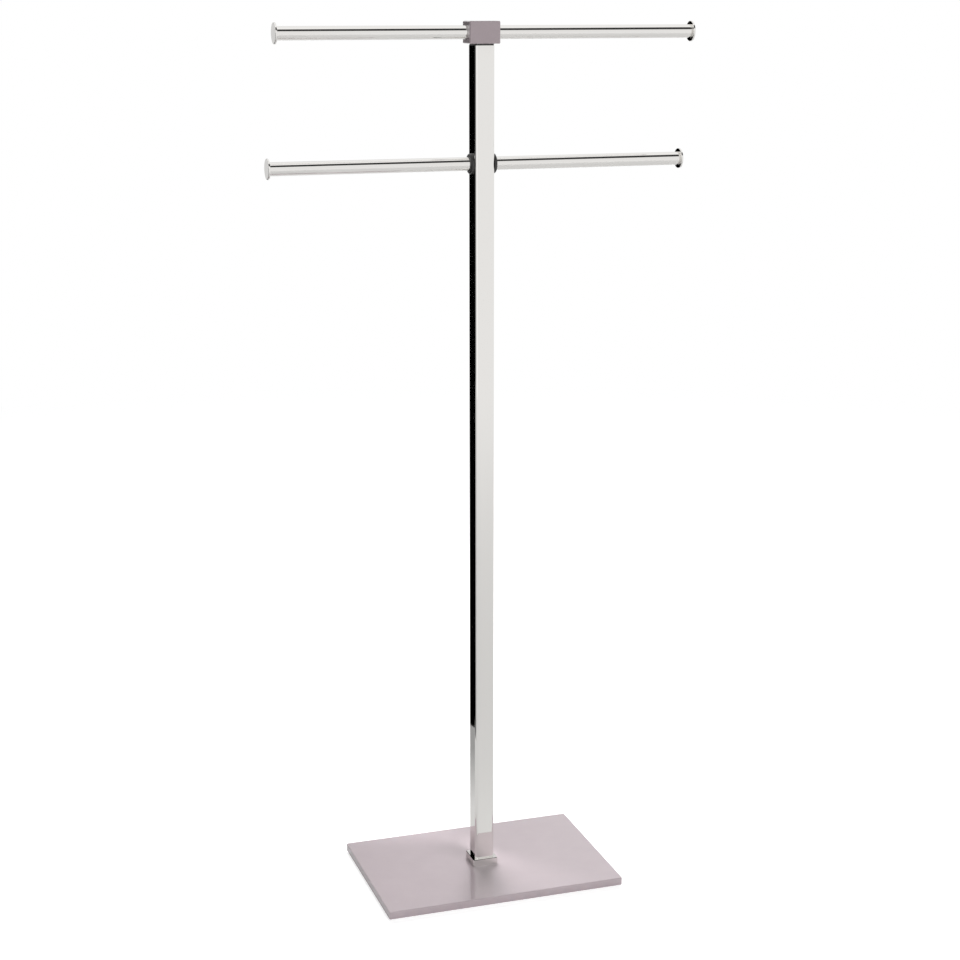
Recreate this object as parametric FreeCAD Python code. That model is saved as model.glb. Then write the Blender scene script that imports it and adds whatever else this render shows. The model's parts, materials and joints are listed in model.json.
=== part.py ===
# Freestanding towel stand: a square chromed post on a heavy lacquered foot plate, with a
# through rail at the top, held in a lacquered block, and a second through rail below it.
# Millimetres, +Z up, origin on the floor under the post's axis. +X runs along the rails,
# -Y is the front, +Y the back. Every height and every seat follows from the sizes below.

import FreeCAD, Part
import math
import os

V = FreeCAD.Vector

# ------------------------------------------------------------------ driving sizes
# foot plate: a flat steel plate with lacquered, slightly broken edges
base_length = 310.0
base_depth = 212.0
base_thickness = 10.0
base_corner_radius = 2.0
base_top_edge_radius = 1.0
base_under_chamfer = 0.6

# rubber pads, stuck on the flat underside of the foot plate
pad_diameter = 20.0
pad_thickness = 1.5
pad_inset = 20.0

# post: square tube with rounded corners
post_side = 25.0
post_wall = 1.5
post_corner_radius = 3.0
post_length = 1041.0
post_fit = 0.1

# steel plug in the foot of the post, with the bolt that holds the post to the foot plate
foot_plug_height = 26.0
foot_bolt_diameter = 8.0
foot_bolt_length = 20.0
foot_bolt_head_diameter = 13.0
foot_bolt_head_height = 4.4
foot_bolt_hex = 5.0
foot_bolt_lead = 0.5
foot_bolt_sunk = 0.4
foot_washer_diameter = 16.0
foot_washer_thickness = 1.2
dowel_diameter = 3.0
dowel_in_plate = 4.5
dowel_in_plug = 7.5
dowel_web = 0.7
bolt_hole_clearance = 0.4
thread_clearance = 0.05

# square collar that covers the joint between post and foot plate
collar_side = 32.5
collar_height = 9.0
collar_corner_radius = 0.8
collar_edge_chamfer = 0.5
collar_fit = 0.15

# rails: round tubes, each in one piece from end to end
rail_diameter = 16.0
rail_wall = 1.5
rail_length = 515.0
rail_fit = 0.1
rail_spacing = 153.0
lower_rail_shift = -2.0
upper_rail_shift = 10.0

# turned end caps of the rails
cap_diameter = 24.5
cap_thickness = 2.3
cap_rim_chamfer = 0.35
cap_spigot_length = 12.0

# flanged bushes that line the lower rail's holes through the post
bush_flange_diameter = 24.5
bush_flange_thickness = 3.0
bush_rim_chamfer = 0.4
bush_sleeve_wall = 1.4
bush_fit = 0.05

# core inside the post that the lower rail runs through
core_height = 32.0
core_gap = 0.1

# head block that carries the upper rail
block_width = 38.0
block_depth = 27.0
block_height = 26.0
block_edge_chamfer = 0.9

# black plug in the top of the post, its flange shows as a dark line under the block
top_flange_thickness = 2.0
top_flange_inset = 0.6
top_skirt_height = 8.0
top_skirt_wall = 2.4

# steel insert under the plug and the stud from it into the head block
insert_height = 26.0
stud_diameter = 8.0
stud_in_insert = 14.0
stud_tip_gap = 0.4
stud_hex = 4.0
stud_hex_depth = 4.0

# headless screws that lock the rails from the back
lock_screw_diameter = 5.0
lock_screw_hex = 2.5
lock_screw_hex_depth = 2.2
lock_screw_sunk = 0.5
lock_screw_tip_gap = 0.05
lock_hole_clearance = 0.5

# ------------------------------------------------------------------ sizes that follow
z_base_bottom = pad_thickness
z_base_top = z_base_bottom + base_thickness
z_post_top = z_base_top + post_length
z_block_bottom = z_post_top + top_flange_thickness
z_upper_rail = z_block_bottom + block_height / 2
z_lower_rail = z_upper_rail - rail_spacing

rail_radius = rail_diameter / 2
rail_bore_radius = rail_radius + rail_fit
post_inner_side = post_side - 2 * post_wall
post_inner_corner = max(post_corner_radius - post_wall, 0.2)
plug_side = post_inner_side - 2 * post_fit
plug_corner_flat = max(post_inner_corner - post_fit, 0.1)
bush_sleeve_radius = rail_bore_radius + bush_sleeve_wall
bush_sleeve_length = post_wall + post_fit - core_gap


# ------------------------------------------------------------------ small helpers
def square_prism(width, depth, corner, z0, height):
    """Upright prism with a rounded rectangular outline, centred on the Z axis."""
    x, y = width / 2, depth / 2
    r = min(corner, 0.49 * min(width, depth))
    k = r * (1 - math.sqrt(0.5))
    runs = [((x - r, -y), (x - k, -y + k), (x, -y + r)), ((x, y - r), (x - k, y - k), (x - r, y)),
            ((-x + r, y), (-x + k, y - k), (-x, y - r)), ((-x, -y + r), (-x + k, -y + k), (-x + r, -y))]
    edges = []
    for i, (start, middle, end) in enumerate(runs):
        a, m, b = (V(p[0], p[1], z0) for p in (start, middle, end))
        edges.append(Part.Arc(a, m, b).toShape())
        following = runs[(i + 1) % 4][0]
        edges.append(Part.makeLine(b, V(following[0], following[1], z0)))
    return Part.Face(Part.Wire(edges)).extrude(V(0, 0, height))


def flat_cornered_prism(side, flat, z0, height):
    """Upright square prism with its corners cut flat, centred on the Z axis."""
    h = side / 2
    k = h - min(flat, 0.9 * h)
    ring = [(k, -h), (h, -k), (h, k), (k, h), (-k, h), (-h, k), (-h, -k), (-k, -h), (k, -h)]
    return Part.Face(Part.makePolygon([V(x, y, z0) for x, y in ring])).extrude(V(0, 0, height))


def turned(points, origin, axis):
    """Solid turned from a half profile of (along, radius) points about the axis at origin."""
    flat = [V(r, 0, a) for a, r in points]
    face = Part.Face(Part.makePolygon(flat + flat[:1]))
    solid = face.revolve(V(0, 0, 0), V(0, 0, 1), 360)
    solid = Part.Solid(solid) if solid.ShapeType == "Shell" else solid
    solid.Placement = FreeCAD.Placement(origin, FreeCAD.Rotation(V(0, 0, 1), axis))
    return solid


def rod(radius, start, axis, length):
    return Part.makeCylinder(radius, length, start, axis)


def hex_recess(across_flats, mouth, axis, depth):
    """Six-sided key socket that goes from its mouth along the axis."""
    r = across_flats / math.sqrt(3)
    ring = [V(r * math.cos(math.radians(60 * i)), r * math.sin(math.radians(60 * i)), 0) for i in range(7)]
    prism = Part.Face(Part.makePolygon(ring)).extrude(V(0, 0, depth))
    prism.Placement = FreeCAD.Placement(mouth, FreeCAD.Rotation(V(0, 0, 1), axis))
    return prism


def edges_at(solid, z, keep=None):
    """Edges that lie wholly at one height, and that the keep test accepts."""
    found = []
    for edge in solid.Edges:
        box = edge.BoundBox
        if abs(box.ZMin - z) < 1e-6 and abs(box.ZMax - z) < 1e-6 and (keep is None or keep(box)):
            found.append(edge)
    return found


def headless_screw(diameter, length, hexagon, hex_depth, mouth, axis):
    """Set screw that goes in from its mouth along the axis, key socket at the mouth."""
    r, c = diameter / 2, 0.12 * diameter
    body = turned([(0, 0), (0, r), (length - c, r), (length, r - c), (length, 0)], mouth, axis)
    return body.cut(hex_recess(hexagon, mouth, axis, min(hex_depth, 0.6 * length)))


# ------------------------------------------------------------------ foot
counterbore_depth = foot_bolt_sunk + foot_bolt_head_height + foot_washer_thickness
counterbore_radius = foot_washer_diameter / 2 + bolt_hole_clearance
foot_hole_radius = foot_bolt_diameter / 2 + bolt_hole_clearance
dowel_offset = (counterbore_radius + dowel_web + dowel_diameter / 2) * math.sqrt(0.5)
pad_radius = pad_diameter / 2
pad_x = base_length / 2 - pad_inset
pad_y = base_depth / 2 - pad_inset
z_washer_top = z_base_bottom + counterbore_depth
z_washer_bottom = z_washer_top - foot_washer_thickness

base_plate = square_prism(base_length, base_depth, base_corner_radius, z_base_bottom, base_thickness)
base_plate = base_plate.makeFillet(base_top_edge_radius, edges_at(base_plate, z_base_top))
base_plate = base_plate.makeChamfer(base_under_chamfer, edges_at(base_plate, z_base_bottom))
base_plate = base_plate.cut(rod(foot_hole_radius, V(0, 0, z_base_bottom), V(0, 0, 1), base_thickness))
base_plate = base_plate.cut(rod(counterbore_radius, V(0, 0, z_base_bottom), V(0, 0, 1),
                                counterbore_depth))
base_plate = base_plate.cut(rod(dowel_diameter / 2 + thread_clearance,
                                V(dowel_offset, dowel_offset, z_base_top - dowel_in_plate),
                                V(0, 0, 1), dowel_in_plate))
pads = {}
for name, sx, sy in (("front_left", -1, -1), ("front_right", 1, -1),
                     ("back_left", -1, 1), ("back_right", 1, 1)):
    pads["foot_pad_" + name] = rod(pad_radius, V(sx * pad_x, sy * pad_y, 0), V(0, 0, 1), pad_thickness)

foot_washer = rod(foot_washer_diameter / 2, V(0, 0, z_washer_bottom), V(0, 0, 1), foot_washer_thickness)
foot_washer = foot_washer.cut(rod(foot_hole_radius, V(0, 0, z_washer_bottom), V(0, 0, 1),
                                  foot_washer_thickness))

head_r, shank_r, lead = foot_bolt_head_diameter / 2, foot_bolt_diameter / 2, foot_bolt_lead
bolt_end = foot_bolt_head_height + foot_bolt_length
foot_bolt = turned([(0, 0), (0, head_r), (foot_bolt_head_height, head_r),
                    (foot_bolt_head_height, shank_r), (bolt_end - lead, shank_r),
                    (bolt_end, shank_r - lead), (bolt_end, 0)],
                   V(0, 0, z_washer_bottom - foot_bolt_head_height), V(0, 0, 1))
foot_bolt = foot_bolt.cut(hex_recess(foot_bolt_hex, V(0, 0, z_washer_bottom - foot_bolt_head_height),
                                     V(0, 0, 1), 0.6 * foot_bolt_head_height))

foot_plug = flat_cornered_prism(plug_side, plug_corner_flat, z_base_top, foot_plug_height)
foot_plug = foot_plug.cut(rod(shank_r + thread_clearance, V(0, 0, z_base_top), V(0, 0, 1),
                              foot_plug_height))
foot_plug = foot_plug.cut(rod(dowel_diameter / 2 + thread_clearance,
                              V(dowel_offset, dowel_offset, z_base_top), V(0, 0, 1), dowel_in_plug))

foot_dowel = rod(dowel_diameter / 2, V(dowel_offset, dowel_offset, z_base_top - dowel_in_plate),
                 V(0, 0, 1), dowel_in_plate + dowel_in_plug)

post_collar = square_prism(collar_side, collar_side, collar_corner_radius, z_base_top, collar_height)
z_collar_top = z_base_top + collar_height
post_collar = post_collar.makeChamfer(collar_edge_chamfer, edges_at(post_collar, z_collar_top))
post_collar = post_collar.cut(square_prism(post_side + 2 * collar_fit, post_side + 2 * collar_fit,
                                           post_corner_radius + collar_fit, z_base_top, collar_height))

# ------------------------------------------------------------------ post
post_tube = square_prism(post_side, post_side, post_corner_radius, z_base_top, post_length)
post_tube = post_tube.cut(square_prism(post_inner_side, post_inner_side, post_inner_corner,
                                       z_base_top, post_length))
half = post_side / 2
bush_hole_radius = bush_sleeve_radius + bush_fit
post_tube = post_tube.cut(rod(bush_hole_radius, V(-half, 0, z_lower_rail), V(1, 0, 0), post_side))
lock_r = lock_screw_diameter / 2
post_tube = post_tube.cut(rod(lock_r + lock_hole_clearance, V(0, 0, z_lower_rail), V(0, 1, 0), half))

# core that the lower rail passes through, with the threaded hole of its locking screw
lower_rail_core = flat_cornered_prism(plug_side, plug_corner_flat, z_lower_rail - core_height / 2,
                                      core_height)
lower_rail_core = lower_rail_core.cut(rod(rail_bore_radius, V(-half, 0, z_lower_rail), V(1, 0, 0),
                                          post_side))
lower_rail_core = lower_rail_core.cut(rod(lock_r + thread_clearance, V(0, 0, z_lower_rail),
                                          V(0, 1, 0), half))


def flanged_bush(side):
    """Bush on one side of the post: round flange outside, short sleeve through the wall."""
    bore, sleeve, flange = rail_bore_radius, bush_sleeve_radius, bush_flange_diameter / 2
    rim, t = bush_rim_chamfer, bush_flange_thickness
    return turned([(-bush_sleeve_length, bore), (-bush_sleeve_length, sleeve), (0, sleeve),
                   (0, flange), (t - rim, flange), (t, flange - rim), (t, bore)],
                  V(side * half, 0, z_lower_rail), V(side, 0, 0))


# ------------------------------------------------------------------ rails
def rail_tube(shift, z):
    start = V(shift - rail_length / 2, 0, z)
    outer = rod(rail_radius, start, V(1, 0, 0), rail_length)
    return outer.cut(rod(rail_radius - rail_wall, start, V(1, 0, 0), rail_length))


def rail_cap(side, shift, z):
    """End cap: a flat round disc against the tube's end and a spigot inside the tube."""
    disc, spigot = cap_diameter / 2, rail_radius - rail_wall - rail_fit
    rim, t = cap_rim_chamfer, cap_thickness
    seat = shift + side * rail_length / 2
    return turned([(-cap_spigot_length, 0), (-cap_spigot_length, spigot), (0, spigot),
                   (0, disc), (t - rim, disc), (t, disc - rim), (t, 0)],
                  V(seat, 0, z), V(side, 0, 0))


# ------------------------------------------------------------------ head
head_block = Part.makeBox(block_width, block_depth, block_height,
                          V(-block_width / 2, -block_depth / 2, z_block_bottom))
head_block = head_block.makeChamfer(block_edge_chamfer, head_block.Edges)
head_block = head_block.cut(rod(rail_bore_radius, V(-block_width / 2, 0, z_upper_rail), V(1, 0, 0),
                                block_width))
head_block = head_block.cut(rod(stud_diameter / 2 + thread_clearance, V(0, 0, z_block_bottom),
                                V(0, 0, 1), block_height / 2))
head_block = head_block.cut(rod(lock_r + thread_clearance, V(0, 0, z_upper_rail), V(0, 1, 0),
                                block_depth / 2))

# plug: flange between post and block, skirt inside the post
z_skirt_bottom = z_post_top - top_skirt_height
top_plug = square_prism(post_side - 2 * top_flange_inset, post_side - 2 * top_flange_inset,
                        max(post_corner_radius - top_flange_inset, 0.2), z_post_top,
                        top_flange_thickness)
top_plug = top_plug.fuse(flat_cornered_prism(plug_side, plug_corner_flat, z_skirt_bottom,
                                             top_skirt_height))
skirt_inner = plug_side - 2 * top_skirt_wall
top_plug = top_plug.cut(flat_cornered_prism(skirt_inner, plug_corner_flat, z_skirt_bottom,
                                            top_skirt_height))
top_plug = top_plug.cut(rod(stud_diameter / 2 + bolt_hole_clearance, V(0, 0, z_skirt_bottom),
                            V(0, 0, 1), top_skirt_height + top_flange_thickness))
top_plug = top_plug.removeSplitter()

z_insert_bottom = z_skirt_bottom - insert_height
head_insert = flat_cornered_prism(plug_side, plug_corner_flat, z_insert_bottom, insert_height)
head_insert = head_insert.cut(rod(stud_diameter / 2 + thread_clearance, V(0, 0, z_insert_bottom),
                                  V(0, 0, 1), insert_height))

z_stud_bottom = z_skirt_bottom - stud_in_insert
z_stud_top = z_upper_rail - rail_radius - stud_tip_gap
head_stud = headless_screw(stud_diameter, z_stud_top - z_stud_bottom, stud_hex, stud_hex_depth,
                           V(0, 0, z_stud_top), V(0, 0, -1))


def lock_screw(z, y_mouth):
    """Locking screw that goes in from the back until its tip meets the rail."""
    tip = rail_radius + lock_screw_tip_gap
    return headless_screw(lock_screw_diameter, y_mouth - tip, lock_screw_hex, lock_screw_hex_depth,
                          V(0, y_mouth, z), V(0, -1, 0))


# ------------------------------------------------------------------ pieces and files
pieces = {
    "base_plate": base_plate,
    "foot_bolt": foot_bolt,
    "foot_bolt_washer": foot_washer,
    "foot_dowel": foot_dowel,
    "foot_plug": foot_plug,
    "post_collar": post_collar,
    "post_tube": post_tube,
    "lower_rail_core": lower_rail_core,
    "lower_rail_lock_screw": lock_screw(z_lower_rail, half - lock_screw_sunk),
    "lower_rail_bush_left": flanged_bush(-1),
    "lower_rail_bush_right": flanged_bush(1),
    "lower_rail": rail_tube(lower_rail_shift, z_lower_rail),
    "lower_rail_cap_left": rail_cap(-1, lower_rail_shift, z_lower_rail),
    "lower_rail_cap_right": rail_cap(1, lower_rail_shift, z_lower_rail),
    "head_insert": head_insert,
    "post_top_plug": top_plug,
    "head_stud": head_stud,
    "head_block": head_block,
    "upper_rail_lock_screw": lock_screw(z_upper_rail, block_depth / 2 - lock_screw_sunk),
    "upper_rail": rail_tube(upper_rail_shift, z_upper_rail),
    "upper_rail_cap_left": rail_cap(-1, upper_rail_shift, z_upper_rail),
    "upper_rail_cap_right": rail_cap(1, upper_rail_shift, z_upper_rail),
}
pieces.update(pads)

os.makedirs("parts", exist_ok=True)
for node, shape in pieces.items():
    if shape.ShapeType != "Solid":
        shape = shape.Solids[0] if len(shape.Solids) == 1 else Part.makeCompound(shape.Solids)
    print(node, shape.ShapeType, "solids", len(shape.Solids), "valid", shape.isValid(),
          "volume", round(shape.Volume, 1))
    shape.exportStep("parts/" + node + ".step")
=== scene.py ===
import json
import math

import bpy
import numpy as np
from mathutils import Matrix, Vector


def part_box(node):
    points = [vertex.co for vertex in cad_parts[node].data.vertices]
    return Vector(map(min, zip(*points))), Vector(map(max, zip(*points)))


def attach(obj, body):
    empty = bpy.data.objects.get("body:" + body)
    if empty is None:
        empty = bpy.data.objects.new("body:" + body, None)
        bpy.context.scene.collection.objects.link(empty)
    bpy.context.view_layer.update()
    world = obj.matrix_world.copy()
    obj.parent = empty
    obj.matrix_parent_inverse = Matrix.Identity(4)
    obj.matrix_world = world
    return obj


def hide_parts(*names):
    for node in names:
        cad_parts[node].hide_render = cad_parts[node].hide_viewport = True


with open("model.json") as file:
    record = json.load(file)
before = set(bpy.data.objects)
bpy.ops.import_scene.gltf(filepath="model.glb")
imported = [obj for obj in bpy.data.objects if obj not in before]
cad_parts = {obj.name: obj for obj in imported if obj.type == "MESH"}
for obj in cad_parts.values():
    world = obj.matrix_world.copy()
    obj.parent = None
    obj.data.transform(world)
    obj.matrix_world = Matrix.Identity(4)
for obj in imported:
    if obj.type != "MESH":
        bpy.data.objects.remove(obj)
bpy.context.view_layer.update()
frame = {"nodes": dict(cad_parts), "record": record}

# ---------------------------------------------------------------- sizes of the turned pieces, metres
DISC_RIM = 0.0005
BUSH_RIM = 0.0023
BUSH_BACK_RIM = 0.0002
BUSH_PROUD = 0.0011
BUSH_SLEEVE_WALL = 0.0014
TUBE_WALL = 0.0015
TUBE_END_RIM = 0.0003
CAP_SPIGOT_GAP = 0.0001
RAIL_GAP = 0.0001

# ---------------------------------------------------------------- how finely they are turned
TURN_STEPS = 192
ARC_STEPS = 6
ARC_HOLD = 0.12
CREASE_ANGLE = math.radians(35)

# ---------------------------------------------------------------- camera, from the photograph's lines
CAMERA_PLACE = Vector((-0.7329, -2.2066, 1.1045))
CAMERA_YAW = math.radians(18.323)
CAMERA_PITCH = math.radians(14.008)
CAMERA_ROLL = math.radians(0.017)
FOCAL_PIXELS = 1924.9
IMAGE_PIXELS = 960
SENSOR = 36.0
CLIP_NEAR = 0.05
CLIP_FAR = 200.0

# ---------------------------------------------------------------- finishes
CHROME_COLOR = (0.805, 0.79, 0.768)
# the block's lacquer is the plate's lacquer darkened: painted shade
BLOCK_SHADED_COLOR = (0.308, 0.252, 0.27)
# the plate's lacquer is the block's lacquer lightened: painted light and sheen
PLATE_LIT_COLOR = (0.42, 0.350, 0.374)
LACQUER_MOTTLE = 0.02
# most of a noise value lies between these two
NOISE_LOW = 0.3
NOISE_HIGH = 0.7

# ---------------------------------------------------------------- studio: metres, levels with white as 1
WHITE = 1.0
BLACK = 0.0
SUN_ANGLE = math.radians(35)
STRIP_HEIGHT = 0.2
STRIP_MIDDLE = 0.12
STRIP_GAP = 0.0135
STRIP_SPREAD = math.radians(60)
CARD_LIFT = 0.002
FLOOR_HALF = 40.0
# Y and Z of the direction, where the world's front goes over to its back and its sides to its top
BACK_FROM, BACK_TO = -0.2, 0.7
TOP_FROM, TOP_TO = 0.45, 0.6


# ================================================================ shapes
def mesh_object(name, verts, faces):
    """Object at the origin, with its place in its mesh."""
    mesh = bpy.data.meshes.new(name)
    mesh.from_pydata(verts, [], faces)
    obj = bpy.data.objects.new(name, mesh)
    bpy.context.scene.collection.objects.link(obj)
    return obj


def rounded_corners(points, radii, ring=False):
    """Polyline with its corners rounded. Corner p between neighbours a and b, with turn angle t and
    radius r, becomes the arc of radius r that touches both runs at r * tan(t / 2) from p. One more
    point on each run, ARC_HOLD of the radius off, keeps the shading of the flat beside the arc
    flat."""
    pts = np.asarray(points, float)
    count = len(pts)
    out = []
    for i, (p, r) in enumerate(zip(pts, radii)):
        if r <= 0 or (not ring and i in (0, count - 1)):
            out.append(p[None])
            continue
        to_a, to_b = pts[i - 1] - p, pts[(i + 1) % count] - p
        ua, ub = to_a / np.linalg.norm(to_a), to_b / np.linalg.norm(to_b)
        half = 0.5 * math.acos(float(np.clip(ua @ ub, -1, 1)))
        reach = r / math.tan(half)
        middle = p + (ua + ub) / np.linalg.norm(ua + ub) * (r / math.sin(half))
        start, end = p + ua * reach - middle, p + ub * reach - middle
        sweep = math.pi - 2 * half
        k = np.linspace(0, 1, ARC_STEPS + 1)[:, None]
        arc = (np.sin((1 - k) * sweep) * start + np.sin(k * sweep) * end) / math.sin(sweep)
        hold = ARC_HOLD * r
        out += [(middle + start + ua * hold)[None], middle + arc, (middle + end + ub * hold)[None]]
    return np.concatenate(out)


def new_piece(name, verts, faces, slot, replaced):
    """Mesh from arrays, faces turned outwards by the sign of the enclosed volume, smooth with
    creases kept sharp, in the finish of its slot. It rides on the root and stands for the nodes
    that it replaces."""
    tri = np.array([f[:3] for f in faces] + [[f[0], f[2], f[3]] for f in faces if len(f) == 4])
    a, b, c = verts[tri[:, 0]], verts[tri[:, 1]], verts[tri[:, 2]]
    if np.einsum("ij,ij->i", a, np.cross(b, c)).sum() < 0:
        faces = [f[::-1] for f in faces]
    piece = mesh_object(name, verts.tolist(), faces)
    mesh = piece.data
    mesh.polygons.foreach_set("use_smooth", np.ones(len(mesh.polygons), bool))
    mesh.set_sharp_from_angle(angle=CREASE_ANGLE)
    mesh.update()
    mesh.materials.append(MATERIALS[slot])
    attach(piece, "root")
    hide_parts(*replaced)


def turned(name, profile, centre_z, slot, replaced, ring=False):
    """Surface turned about a line along X at height centre_z: at profile point v = (x, r) and turn
    u, the point is (x, r cos u, centre_z + r sin u). A ring profile joins its end to its start,
    any other starts and ends on the axis, where a fan closes it."""
    prof = np.asarray(profile, float)
    body = prof if ring else prof[1:-1]
    u = np.arange(TURN_STEPS) * (2 * math.pi / TURN_STEPS)
    x = np.broadcast_to(body[:, :1], (len(body), TURN_STEPS))
    y = body[:, 1:] * np.cos(u)
    z = body[:, 1:] * np.sin(u) + centre_z
    verts = np.stack([x, y, z], -1).reshape(-1, 3)
    rows = len(body) if ring else len(body) - 1
    i, j = np.meshgrid(np.arange(rows), np.arange(TURN_STEPS), indexing="ij")
    i2, j2 = (i + 1) % len(body), (j + 1) % TURN_STEPS
    faces = np.stack([i * TURN_STEPS + j, i * TURN_STEPS + j2, i2 * TURN_STEPS + j2,
                      i2 * TURN_STEPS + j], -1).reshape(-1, 4).tolist()
    if not ring:
        first, last = len(verts), len(verts) + 1
        verts = np.concatenate([verts, [[prof[0, 0], 0, centre_z], [prof[-1, 0], 0, centre_z]]])
        k = np.arange(TURN_STEPS)
        k2, top = (k + 1) % TURN_STEPS, (len(body) - 1) * TURN_STEPS
        faces += np.stack([k2, k, np.full_like(k, first)], -1).tolist()
        faces += np.stack([k + top, k2 + top, np.full_like(k, last)], -1).tolist()
    new_piece(name, verts, faces, slot, replaced)


def rail(node):
    """Round tube: a rectangle from bore to outside, its four corners barely broken."""
    lo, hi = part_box(node)
    outer = (hi.z - lo.z) / 2
    inner = outer - TUBE_WALL
    corners = [(lo.x, inner), (lo.x, outer), (hi.x, outer), (hi.x, inner)]
    profile = rounded_corners(corners, [TUBE_END_RIM] * 4, ring=True)
    turned(node + "_tube", profile, (hi.z + lo.z) / 2, "chrome", [node], ring=True)


def rail_cap(node, side):
    """Flat disc with softly rounded rims and the spigot that holds it in the tube. The side is 1
    on the right and -1 on the left."""
    lo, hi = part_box(node)
    disc = (hi.z - lo.z) / 2
    rail_lo, rail_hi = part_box("upper_rail" if node.startswith("upper") else "lower_rail")
    spigot = (rail_hi.z - rail_lo.z) / 2 - TUBE_WALL - CAP_SPIGOT_GAP
    outer, tip = (hi.x, lo.x) if side > 0 else (lo.x, hi.x)
    seat = rail_hi.x if side > 0 else rail_lo.x
    corners = [(tip, 0), (tip, spigot), (seat, spigot), (seat, disc), (outer, disc), (outer, 0)]
    profile = rounded_corners(corners, [0, 0, 0, DISC_RIM, DISC_RIM, 0])
    turned(node + "_disc", profile, (hi.z + lo.z) / 2, "chrome", [node])


def rail_bush(node, side):
    """Flange with a softly rounded outer rim, a little thicker than the plain solid's, and the
    short sleeve that lines the post's hole. The side is as for the caps."""
    lo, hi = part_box(node)
    flange = (hi.z - lo.z) / 2
    rail_lo, rail_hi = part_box("lower_rail")
    bore = (rail_hi.z - rail_lo.z) / 2 + RAIL_GAP
    sleeve = bore + BUSH_SLEEVE_WALL
    outer, inner = (hi.x + BUSH_PROUD, lo.x) if side > 0 else (lo.x - BUSH_PROUD, hi.x)
    post_lo, post_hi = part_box("post_tube")
    seat = post_hi.x if side > 0 else post_lo.x
    corners = [(inner, bore), (inner, sleeve), (seat, sleeve), (seat, flange), (outer, flange),
               (outer, bore)]
    profile = rounded_corners(corners, [0, 0, 0, BUSH_BACK_RIM, BUSH_RIM, BUSH_BACK_RIM],
                              ring=True)
    turned(node + "_flange", profile, (hi.z + lo.z) / 2, "black_plastic", [node], ring=True)


# ================================================================ nodes that several trees share
def empty_tree(owner):
    """Node tree of a material or a world, with nothing in it."""
    owner.use_nodes = True
    owner.node_tree.nodes.clear()
    return owner.node_tree


def object_place(tree):
    """The place on the object, in its own coordinates."""
    return tree.nodes.new("ShaderNodeTexCoord").outputs["Object"]


def feed(tree, value, socket):
    """Sets a socket to a number, or joins it to another node's output."""
    if isinstance(value, (int, float)):
        socket.default_value = value
    else:
        tree.links.new(value, socket)


def map_range(tree, value, start, end, low, high, smooth=False):
    """Takes a value's run from start to end onto low..high, straight or softened at both ends."""
    node = tree.nodes.new("ShaderNodeMapRange")
    if smooth:
        node.interpolation_type = "SMOOTHSTEP"
    for socket, number in zip(("From Min", "From Max", "To Min", "To Max"),
                              (start, end, low, high)):
        node.inputs[socket].default_value = number
    tree.links.new(value, node.inputs["Value"])
    return node.outputs["Result"]


# ================================================================ materials
class Finish:
    """One node material: a Principled shader, with helpers that add patterns to it."""

    def __init__(self, name, color, roughness, metallic=0.0, **sockets):
        self.material = bpy.data.materials.new(name)
        self.material.use_nodes = True
        self.tree = self.material.node_tree
        self.shader = self.tree.nodes["Principled BSDF"]
        self.shader.inputs["Base Color"].default_value = (*color, 1)
        self.shader.inputs["Roughness"].default_value = roughness
        self.shader.inputs["Metallic"].default_value = metallic
        for socket, value in sockets.items():
            self.shader.inputs[socket.replace("_", " ")].default_value = value
        self.place = object_place(self.tree)

    def noise(self, scale, detail=3.0, stretch=None):
        """Noise in object space. A stretch scales each axis: below 1 draws the noise out along
        it, above 1 packs it closer."""
        place = self.place
        if stretch:
            mapping = self.tree.nodes.new("ShaderNodeMapping")
            mapping.inputs["Scale"].default_value = stretch
            self.tree.links.new(place, mapping.inputs["Vector"])
            place = mapping.outputs["Vector"]
        node = self.tree.nodes.new("ShaderNodeTexNoise")
        node.inputs["Scale"].default_value = scale
        node.inputs["Detail"].default_value = detail
        self.tree.links.new(place, node.inputs["Vector"])
        return node.outputs["Fac"]

    def vary_roughness(self, value, low, high):
        """Lets a noise value move the roughness between two limits."""
        run = map_range(self.tree, value, NOISE_LOW, NOISE_HIGH, low, high)
        self.tree.links.new(run, self.shader.inputs["Roughness"])

    def vary_color(self, value, dark, light):
        """Lets a noise value move the colour between two others."""
        ramp = self.tree.nodes.new("ShaderNodeValToRGB")
        for stop, position, color in zip(ramp.color_ramp.elements, (NOISE_LOW, NOISE_HIGH),
                                         (dark, light)):
            stop.position = position
            stop.color = (*color, 1)
        self.tree.links.new(value, ramp.inputs["Fac"])
        self.tree.links.new(ramp.outputs["Color"], self.shader.inputs["Base Color"])

    def bump(self, value, height, strength):
        """Lets a noise value raise the surface, by height metres at most."""
        node = self.tree.nodes.new("ShaderNodeBump")
        node.inputs["Strength"].default_value = strength
        node.inputs["Distance"].default_value = height
        self.tree.links.new(value, node.inputs["Height"])
        self.tree.links.new(node.outputs["Normal"], self.shader.inputs["Normal"])


def polished_chrome():
    """Bright plating: nearly a mirror, with a faint long ripple and patches of slightly softer
    polish."""
    f = Finish("polished_chrome", CHROME_COLOR, roughness=0.03, metallic=1.0)
    f.vary_roughness(f.noise(scale=60.0), low=0.02, high=0.045)
    f.bump(f.noise(scale=9.0, detail=1.0, stretch=(1.0, 1.0, 0.35)), height=0.00012, strength=0.3)
    return f.material


def lilac_lacquer(name, color):
    """Metallic lacquer: dusky lilac-grey with a soft satin lustre, under a thin clear gloss."""
    f = Finish(name, color, roughness=0.31, metallic=0.1, IOR=1.5, Coat_Weight=1.0, Coat_IOR=1.5,
               Coat_Roughness=0.06)
    darker = [c * (1 - LACQUER_MOTTLE) for c in color]
    lighter = [c * (1 + LACQUER_MOTTLE) for c in color]
    f.vary_color(f.noise(scale=35.0), darker, lighter)
    f.vary_roughness(f.noise(scale=90.0), low=0.29, high=0.34)
    f.bump(f.noise(scale=900.0, detail=2.0), height=0.00002, strength=0.3)
    return f.material


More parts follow.
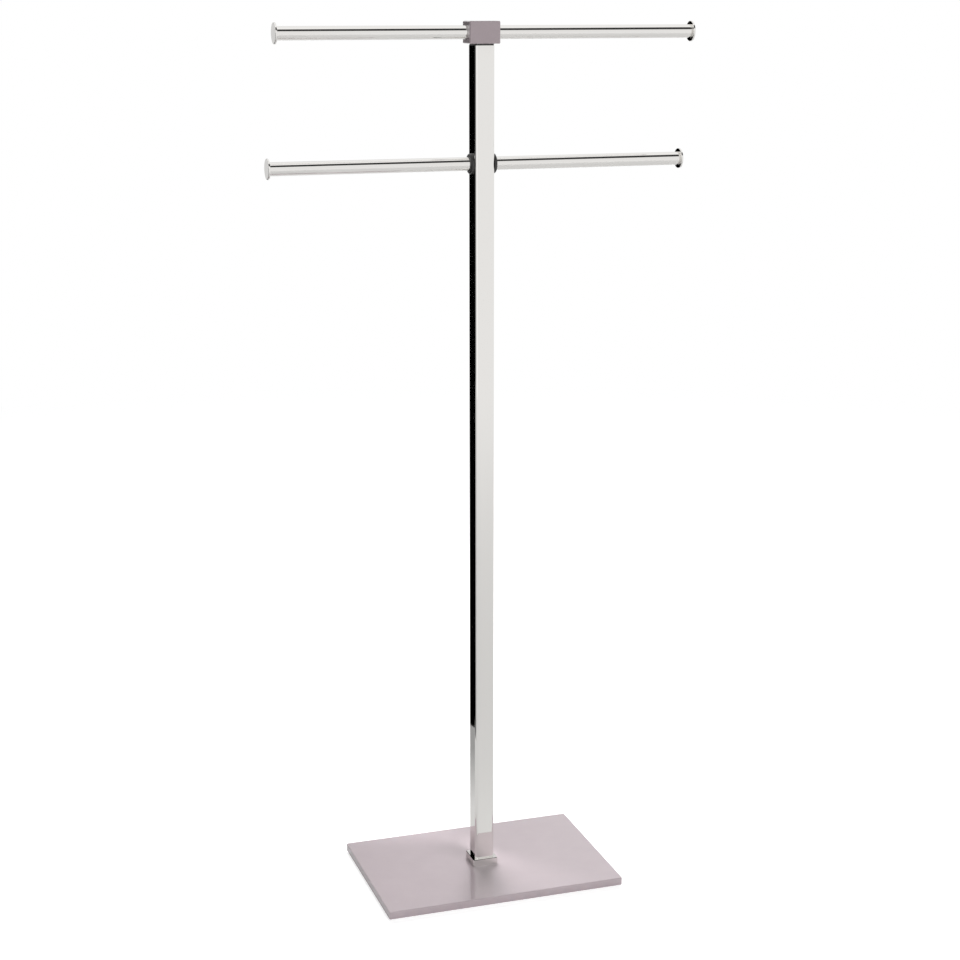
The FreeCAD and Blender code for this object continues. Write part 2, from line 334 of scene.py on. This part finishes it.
def black_moulding():
    """Injection-moulded black plastic, half gloss, with a fine even grain."""
    f = Finish("black_moulding", (0.022, 0.021, 0.020), roughness=0.36, IOR=1.46)
    f.vary_roughness(f.noise(scale=1200.0), low=0.32, high=0.42)
    f.bump(f.noise(scale=2500.0), height=0.00002, strength=0.3)
    return f.material


def pad_rubber():
    """Matt dark rubber, lightly pitted."""
    f = Finish("pad_rubber", (0.035, 0.034, 0.034), roughness=0.8, IOR=1.45)
    f.vary_color(f.noise(scale=400.0), dark=(0.030, 0.029, 0.029), light=(0.042, 0.041, 0.041))
    f.bump(f.noise(scale=1500.0), height=0.00006, strength=0.5)
    return f.material


def turned_steel():
    """Zinc-plated steel: bright grey, with the fine lines of machining."""
    f = Finish("turned_steel", (0.52, 0.53, 0.55), roughness=0.32, metallic=1.0)
    f.vary_color(f.noise(scale=250.0), dark=(0.46, 0.47, 0.50), light=(0.58, 0.58, 0.59))
    f.vary_roughness(f.noise(scale=600.0, stretch=(1.0, 1.0, 8.0)), low=0.25, high=0.42)
    f.bump(f.noise(scale=1500.0, stretch=(1.0, 1.0, 10.0)), height=0.00002, strength=0.4)
    return f.material


def blackened_steel():
    """Black-oxide screw steel, oily dark with a brighter bloom on it."""
    f = Finish("blackened_steel", (0.035, 0.035, 0.038), roughness=0.38, metallic=0.8)
    f.vary_color(f.noise(scale=700.0), dark=(0.025, 0.025, 0.028), light=(0.055, 0.055, 0.06))
    f.vary_roughness(f.noise(scale=900.0), low=0.3, high=0.5)
    return f.material


# ================================================================ studio
def emission(tree, level):
    """White glow. Its level is a number or a node's output."""
    node = tree.nodes.new("ShaderNodeEmission")
    node.inputs["Color"].default_value = (1, 1, 1, 1)
    feed(tree, level, node.inputs["Strength"])
    return node.outputs["Emission"]


def by_ray(tree, for_camera, for_glossy, for_others):
    """Picks one of three levels by the kind of ray. Each is a number or a node's output."""
    rays = tree.nodes.new("ShaderNodeLightPath").outputs
    level = for_others
    for kind, for_kind in (("Is Glossy Ray", for_glossy), ("Is Camera Ray", for_camera)):
        mix = tree.nodes.new("ShaderNodeMix")
        feed(tree, level, mix.inputs["A"])
        feed(tree, for_kind, mix.inputs["B"])
        tree.links.new(rays[kind], mix.inputs["Factor"])
        level = mix.outputs["Result"]
    return level


def glow(name, level, fade):
    """Glow of a studio card, even, or going over from its level to the fade's level along the
    fade's direction, between the distances start and end from the origin."""
    material = bpy.data.materials.new(name)
    tree = empty_tree(material)
    if fade:
        along = tree.nodes.new("ShaderNodeVectorMath")
        along.operation = "DOT_PRODUCT"
        along.inputs[1].default_value = fade["direction"]
        tree.links.new(object_place(tree), along.inputs[0])
        level = map_range(tree, along.outputs["Value"], fade["start"], fade["end"],
                          level, fade["level"])
    out = tree.nodes.new("ShaderNodeOutputMaterial")
    tree.links.new(emission(tree, level), out.inputs["Surface"])
    return material


def card(name, corners, level, fade=None):
    """Studio card: a flat polygon through its corners, which only reflections see."""
    obj = mesh_object(name, corners, [tuple(range(len(corners)))])
    obj.data.materials.append(glow(name, level, fade))
    obj.visible_camera = False
    obj.visible_diffuse = False
    obj.visible_shadow = False
    obj.visible_transmission = False
    obj.visible_volume_scatter = False


def level_card(name, points, level, fade=None):
    """Card that lies just above the floor."""
    card(name, [(x, y, CARD_LIFT) for x, y in points], level, fade)


def wall_card(name, start, end, top, level, bottom=0.0, fade=None):
    """Upright card over the line from start to end, between the heights bottom and top."""
    corners = [(*start, bottom), (*end, bottom), (*end, top), (*start, top)]
    card(name, corners, level, fade)


def floor_material(albedo, lift, mirrored_lift, bounce, near, far, mirrored, far_bounce):
    """Pale floor. Near the stand it is diffuse, so that it takes the stand's shadow, and glows a
    little: by lift for the camera, by mirrored_lift for reflections and by bounce for the light
    that it throws back. Between the radii near and far it goes over to a plain white, which
    reflections see as the level mirrored, and which throws back far_bounce."""
    material = bpy.data.materials.new("pale_floor")
    tree = empty_tree(material)
    new, link = tree.nodes.new, tree.links.new
    radius = new("ShaderNodeVectorMath")
    radius.operation = "LENGTH"
    link(object_place(tree), radius.inputs[0])
    fade = map_range(tree, radius.outputs["Value"], near, far, 0.0, 1.0, smooth=True)
    diffuse = new("ShaderNodeBsdfDiffuse")
    diffuse.inputs["Color"].default_value = (albedo, albedo, albedo, 1)
    near_floor = new("ShaderNodeAddShader")
    link(diffuse.outputs[0], near_floor.inputs[0])
    link(emission(tree, by_ray(tree, lift, mirrored_lift, bounce)), near_floor.inputs[1])
    mix = new("ShaderNodeMixShader")
    link(fade, mix.inputs["Fac"])
    link(near_floor.outputs[0], mix.inputs[1])
    link(emission(tree, by_ray(tree, WHITE, mirrored, far_bounce)), mix.inputs[2])
    out = new("ShaderNodeOutputMaterial")
    link(mix.outputs[0], out.inputs["Surface"])
    return material


def make_floor():
    """Square floor with the stand in its middle, far larger than the stand."""
    signs = ((-1, -1), (1, -1), (1, 1), (-1, 1))
    obj = mesh_object("floor", [(x * FLOOR_HALF, y * FLOOR_HALF, 0) for x, y in signs],
                      [(0, 1, 2, 3)])
    obj.data.materials.append(floor_material(albedo=0.5, lift=0.75, mirrored_lift=0.19, bounce=0.58,
                                             near=0.6, far=3.2, mirrored=0.97, far_bounce=0.8))


def make_world(ambient, front, back, overhead_gain):
    """White to the camera, a soft even fill for the surfaces, and for reflections one level in
    front and a lower one behind, both a little under white, with a gain overhead."""
    world = bpy.data.worlds.new("studio")
    bpy.context.scene.world = world
    tree = empty_tree(world)
    new, link = tree.nodes.new, tree.links.new
    direction = new("ShaderNodeSeparateXYZ")
    link(new("ShaderNodeTexCoord").outputs["Generated"], direction.inputs[0])
    around = map_range(tree, direction.outputs["Y"], BACK_FROM, BACK_TO, front, back, smooth=True)
    gain = map_range(tree, direction.outputs["Z"], TOP_FROM, TOP_TO, 0.0, overhead_gain,
                     smooth=True)
    mirrored = new("ShaderNodeMath")
    mirrored.operation = "ADD"
    link(around, mirrored.inputs[0])
    link(gain, mirrored.inputs[1])
    sky = new("ShaderNodeBackground")
    sky.inputs["Color"].default_value = (1, 1, 1, 1)
    link(by_ray(tree, WHITE, mirrored.outputs[0], ambient), sky.inputs["Strength"])
    out = new("ShaderNodeOutputWorld")
    link(sky.outputs[0], out.inputs["Surface"])


def lamp(name, kind, light_from):
    """Lamp whose light comes from a direction, and which stays out of reflections."""
    obj = bpy.data.objects.new(name, bpy.data.lights.new(name, kind))
    obj.rotation_mode = "QUATERNION"
    obj.rotation_quaternion = light_from.to_track_quat("Z", "Y")
    obj.visible_glossy = False
    bpy.context.scene.collection.objects.link(obj)
    return obj


def soft_sun(name, light_from, strength):
    """Broad distant lamp that lights the stand."""
    data = lamp(name, "SUN", Vector(light_from)).data
    data.energy = strength * math.pi
    data.angle = SUN_ANGLE


def thrown_light(name, centre, towards, width, power):
    """Strip lamp beside a chromed face of the post, turned down to the plate: it stands for the
    light which that face throws there. Neither the camera nor reflections see it."""
    strip = lamp(name, "AREA", -Vector(towards))
    strip.location = centre
    strip.visible_camera = False
    strip.data.shape = "RECTANGLE"
    strip.data.size = width
    strip.data.size_y = STRIP_HEIGHT
    strip.data.energy = power
    strip.data.spread = STRIP_SPREAD


def make_lamps():
    """Two suns, and strip lamps beside the post's back face and its right face."""
    soft_sun("key", light_from=(0.5, -1.2, 0.7), strength=0.52)
    soft_sun("behind", light_from=(0.25, 0.95, 0.75), strength=1.24)
    _, post_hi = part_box("post_tube")
    back, right = post_hi.y + STRIP_GAP, post_hi.x + STRIP_GAP
    thrown_light("thrown_back", centre=(-0.004, back, STRIP_MIDDLE), towards=(-0.55, 1.0, -0.7),
                 width=0.022, power=0.11)
    thrown_light("thrown_right", centre=(right, -0.006, STRIP_MIDDLE), towards=(0.35, -1.0, -0.7),
                 width=0.016, power=0.017)


def make_dark_cards():
    """Dark floor and walls to the left of the stand and behind it, which its left sides mirror."""
    # places on the floor: those near the stand, then those far off
    near_left, near_right = (-0.18, 0.12), (0.03, 0.12)
    start, bend, corner = (-0.155, 0.60), (-0.173, 0.46), (-0.40, 0.40)
    turn, front = (-0.5, -0.09), (-0.27, -0.46)
    right, back, far_left, side = (-0.8, 3.0), (-4.0, 3.0), (-3.4, -0.62), (-1.9, -3.2)
    grey_right, far_right, far_back = (-1.3, 6.0), (-1.76, 6.0), (-4.8, 6.0)

    level_card("black_floor_far", [right, far_right, far_back, back], BLACK)
    level_card("black_floor_back", [start, right, back, corner, bend], BLACK)
    level_card("black_floor_left", [corner, back, far_left, turn], BLACK)
    level_card("dim_floor_left", [turn, far_left, side, front], level=0.55)
    level_card("dim_floor_back", [corner, bend, start, near_right, near_left], level=0.75,
               fade={"direction": (-0.309, 0.951, 0), "start": 0.2, "end": 0.42, "level": 0.38})
    wall_card("black_wall_far", far_right, far_back, top=2.5, level=BLACK)
    wall_card("grey_wall_far", grey_right, far_right, top=2.5, level=0.73)
    wall_card("black_wall_back", far_back, back, top=2.0, level=BLACK)
    wall_card("black_wall_left", back, far_left, top=1.25, level=BLACK)
    wall_card("dim_wall_left", far_left, side, top=1.25, level=0.3)
    wall_card("black_patch", (-1.25, 3.0), (-0.8, 3.0), bottom=1.38, top=1.64, level=BLACK)


def make_sheen_and_line_cards():
    """Cards for the sheen on the foot plate and for the thin lines along the rails and the post."""
    # panel high behind the stand, brighter to the right: the sheen
    wall_card("plate_sheen", (0.0, 2.6), (2.0, 2.6), bottom=0.8, top=1.8, level=0.45,
              fade={"direction": (1, 0, 0), "start": 0.45, "end": 1.1, "level": 0.92})
    # dark gap high in front, where the front of the world goes over to its top: the rails' line
    card("dark_gap", [(-0.6, -1.60, 2.16), (2.2, -1.70, 2.04), (2.2, -0.45, 2.74),
                      (-0.6, -0.80, 2.70)], level=0.05)
    # broad light behind the camera: the bright line down the post's corner
    wall_card("corner_light", (-0.9, -2.6), (0.28, -2.6), bottom=0.1, top=2.2, level=1.3)


def make_camera():
    """Looks along yaw right of +Y and pitch below the horizon, from the fitted place."""
    sy, cy, sp, cp = (math.sin(CAMERA_YAW), math.cos(CAMERA_YAW),
                      math.sin(CAMERA_PITCH), math.cos(CAMERA_PITCH))
    forward = Vector((sy * cp, cy * cp, -sp))
    right = Vector((cy, -sy, 0))
    up = right.cross(forward)
    turn = Matrix.Rotation(CAMERA_ROLL, 3, forward)
    right, up = turn @ right, turn @ up
    data = bpy.data.cameras.new("camera")
    data.sensor_fit = "HORIZONTAL"
    data.sensor_width = SENSOR
    data.lens = FOCAL_PIXELS / IMAGE_PIXELS * SENSOR
    data.clip_start = CLIP_NEAR
    data.clip_end = CLIP_FAR
    camera = bpy.data.objects.new("camera", data)
    bpy.context.scene.collection.objects.link(camera)
    axes = Matrix((right, up, -forward)).transposed().to_4x4()
    camera.matrix_world = Matrix.Translation(CAMERA_PLACE) @ axes
    bpy.context.scene.camera = camera


# ================================================================ the stand
MATERIALS = {
    # the block gets the lilac lacquer darkened as painted shade
    "lacquer": lilac_lacquer("lilac_lacquer_block_painted_shade", BLOCK_SHADED_COLOR),
    "chrome": polished_chrome(),
    "black_plastic": black_moulding(),
    "rubber": pad_rubber(),
    "steel": turned_steel(),
    "black_steel": blackened_steel(),
}
SLOT_OF = {s["node"]: s["material_slot"] for s in frame["record"]["subparts"]}


def dress(obj, material):
    """Gives every slot of a solid its finish."""
    if not obj.data.materials:
        obj.data.materials.append(material)
    for slot in obj.material_slots:
        slot.material = material


for node, obj in frame["nodes"].items():
    dress(obj, MATERIALS[SLOT_OF[node]])
# the foot plate gets the lilac lacquer lightened as painted light and sheen
dress(frame["nodes"]["base_plate"], lilac_lacquer("lilac_lacquer_plate_painted_light", PLATE_LIT_COLOR))

for side, sign in (("left", -1), ("right", 1)):
    rail_bush("lower_rail_bush_" + side, sign)
    for level in ("lower", "upper"):
        rail_cap(f"{level}_rail_cap_{side}", sign)
for node in ("lower_rail", "upper_rail"):
    rail(node)

make_floor()
make_world(ambient=0.15, front=0.94, back=0.90, overhead_gain=0.12)
make_lamps()
make_dark_cards()
make_sheen_and_line_cards()
make_camera()

view = bpy.context.scene.view_settings
view.view_transform = "Standard"

bpy.context.view_layer.update()
